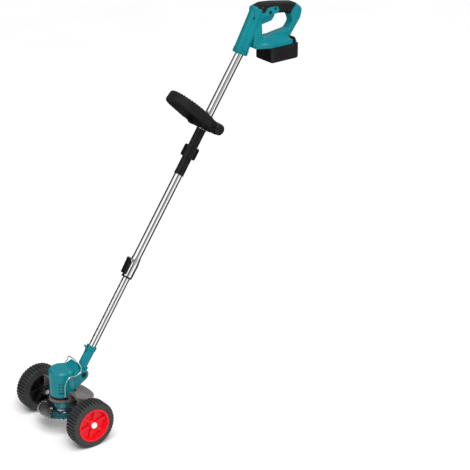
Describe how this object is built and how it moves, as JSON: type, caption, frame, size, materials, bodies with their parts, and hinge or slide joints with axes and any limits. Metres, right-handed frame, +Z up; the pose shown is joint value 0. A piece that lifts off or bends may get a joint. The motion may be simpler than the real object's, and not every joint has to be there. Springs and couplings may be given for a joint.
{
  "type": "lawn edger",
  "caption": "Battery lawn edger with a D-loop handle, telescopic pole, tilting motor head, toothed disc blade, smoked rear guard and lugged wheels.",
  "frame": {"origin": "on the ground, midway between the two wheel contacts, under the axle line", "axes": "+X the way it is pushed, +Y the user's left, +Z up"},
  "size_m": [0.9438, 0.319, 1.1505],
  "materials": {
    "teal_plastic": "moulded ABS, semi gloss",
    "black_rubber": "soft overmould, fine texture",
    "black_plastic": "glass-filled nylon, satin",
    "battery_plastic": "moulded, satin",
    "dark_steel": "blackened screws and pins",
    "red_lens": "clear red lens",
    "spring_steel": "ground",
    "cell_wrap": "shrink wrap",
    "chrome_tube": "chromed steel tube",
    "inner_steel": "plated tube with stop holes",
    "lead_rubber": "coiled lead",
    "washer_steel": "zinc plated",
    "motor_steel": "motor can",
    "blade_steel": "ground saw steel",
    "smoke_plastic": "smoked translucent, moulded",
    "black_steel": "powder coated",
    "wire_steel": "plated spring wire",
    "tyre_rubber": "moulded lugged tyre",
    "red_plastic": "moulded hub disc",
    "white_cap": "push-on cap"
  },
  "bodies": {
    "handle": {"handle_left": "teal_plastic", "handle_right": "teal_plastic", "soft_grip": "black_rubber", "handle_screws": "dark_steel", "charge_light": "red_lens", "switch_block": "black_plastic", "trigger_spring": "spring_steel", "terminal_block": "black_plastic", "upper_tube": "chrome_tube", "lower_tube": "chrome_tube", "upper_sleeve": "black_plastic", "lower_sleeve": "black_plastic", "power_lead": "lead_rubber", "latch_sleeve": "chrome_tube", "latch_ring": "black_plastic", "latch_pin": "dark_steel"},
    "trigger": {"trigger": "teal_plastic"},
    "lock_button": {"lock_button": "black_plastic"},
    "battery": {"battery_case": "battery_plastic", "battery_rail": "battery_plastic", "battery_cells": "cell_wrap"},
    "battery_button": {"battery_button": "black_plastic"},
    "aux_clamp": {"aux_clamp": "black_plastic", "aux_bolt": "dark_steel"},
    "aux_loop": {"aux_loop": "black_plastic", "aux_grip": "black_rubber", "aux_washer": "washer_steel"},
    "aux_knob": {"aux_knob": "black_plastic"},
    "coupling_nut": {"coupling_nut": "black_plastic"},
    "latch_lever": {"latch_lever": "black_plastic"},
    "inner_pole": {"inner_tube": "inner_steel", "neck_left": "teal_plastic", "neck_right": "teal_plastic", "neck_screws": "dark_steel"},
    "neck_lever": {"neck_lever": "teal_plastic"},
    "head": {"motor_housing_left": "teal_plastic", "motor_housing_right": "teal_plastic", "housing_screws": "dark_steel", "strap_screws": "dark_steel", "motor_can": "motor_steel", "gasket_ring": "black_plastic", "gear_cone": "teal_plastic", "bearings": "spring_steel", "debris_guard": "smoke_plastic", "axle_strap": "black_steel", "axles": "washer_steel", "tilt_pin": "dark_steel"},
    "tilt_button": {"tilt_button": "black_plastic"},
    "plant_guard": {"wire_guard": "wire_steel"},
    "wheel_left": {"tyre_left": "tyre_rubber", "wheel_hub_left": "black_plastic", "hub_disc_left": "red_plastic", "hub_cap_left": "white_cap"},
    "wheel_right": {"tyre_right": "tyre_rubber", "wheel_hub_right": "black_plastic", "hub_disc_right": "red_plastic", "hub_cap_right": "white_cap"},
    "cutter": {"spindle": "spring_steel", "blade": "blade_steel", "blade_nut": "dark_steel"}
  },
  "joints": [
    {"name": "trigger_pull", "type": "hinge", "parent": "handle", "child": "trigger", "pos_m": [-0.71315, 0, 1.10912], "axis": [0, 1, 0], "range_deg": [0, 8], "stiffness_Nm_per_rad": 1.2, "springref_deg": -5.73, "deforming": ["trigger_spring"]},
    {"name": "lock_press", "type": "slide", "parent": "handle", "child": "lock_button", "axis": [0, -1, 0], "range_m": [0, 0.004], "stiffness_N_per_m": 300, "springref_m": -0.002},
    {"name": "battery_slide", "type": "slide", "parent": "handle", "child": "battery", "axis": [-1, 0, 0], "range_m": [0, 0.095]},
    {"name": "battery_button_press", "type": "slide", "parent": "battery", "child": "battery_button", "axis": [0, 0, -1], "range_m": [0, 0.002], "stiffness_N_per_m": 500, "springref_m": -0.002},
    {"name": "aux_slide", "type": "slide", "parent": "handle", "child": "aux_clamp", "axis": [-0.5678, 0, 0.8231], "range_m": [0, 0.15]},
    {"name": "aux_tilt", "type": "hinge", "parent": "aux_clamp", "child": "aux_loop", "pos_m": [-0.51339, 0, 0.82592], "axis": [0, 1, 0], "range_deg": [-25, 25]},
    {"name": "aux_knob_turn", "type": "hinge", "parent": "aux_clamp", "child": "aux_knob", "pos_m": [-0.51339, 0.07, 0.82592], "axis": [0, 1, 0], "range_deg": [0, 360]},
    {"name": "coupling_turn", "type": "hinge", "parent": "handle", "child": "coupling_nut", "pos_m": [-0.46001, 0, 0.74854], "axis": [-0.5678, 0, 0.8231], "range_deg": [0, 360]},
    {"name": "latch_open", "type": "hinge", "parent": "handle", "child": "latch_lever", "pos_m": [-0.24196, 0, 0.46769], "axis": [0, -1, 0], "range_deg": [0, 45], "stiffness_Nm_per_rad": 0.4, "springref_deg": -17.19},
    {"name": "telescope", "type": "slide", "parent": "handle", "child": "inner_pole", "axis": [-0.5678, 0, 0.8231], "range_m": [0, 0.215]},
    {"name": "neck_lever_pull", "type": "hinge", "parent": "inner_pole", "child": "neck_lever", "pos_m": [-0.08102, 0, 0.22276], "axis": [0, 1, 0], "range_deg": [0, 20], "stiffness_Nm_per_rad": 0.1, "springref_deg": -11.46},
    {"name": "head_tilt", "type": "hinge", "parent": "inner_pole", "child": "head", "pos_m": [-0.054, 0, 0.16], "axis": [0, 1, 0], "range_deg": [-20, 35]},
    {"name": "tilt_button_press", "type": "slide", "parent": "head", "child": "tilt_button", "axis": [0, -1, 0], "range_m": [0, 0.002], "stiffness_N_per_m": 500, "springref_m": -0.002},
    {"name": "plant_guard_flip", "type": "hinge", "parent": "head", "child": "plant_guard", "pos_m": [0.022, 0, 0.119], "axis": [0, 1, 0], "range_deg": [0, 130]},
    {"name": "wheel_left_roll", "type": "hinge", "parent": "head", "child": "wheel_left", "pos_m": [0, 0.1355, 0.07], "axis": [0, 1, 0], "continuous": true},
    {"name": "wheel_right_roll", "type": "hinge", "parent": "head", "child": "wheel_right", "pos_m": [0, -0.1355, 0.07], "axis": [0, 1, 0], "continuous": true},
    {"name": "blade_spin", "type": "hinge", "parent": "head", "child": "cutter", "pos_m": [0.0065, 0, 0.062], "axis": [0, 0, 1], "continuous": true}
  ]
}
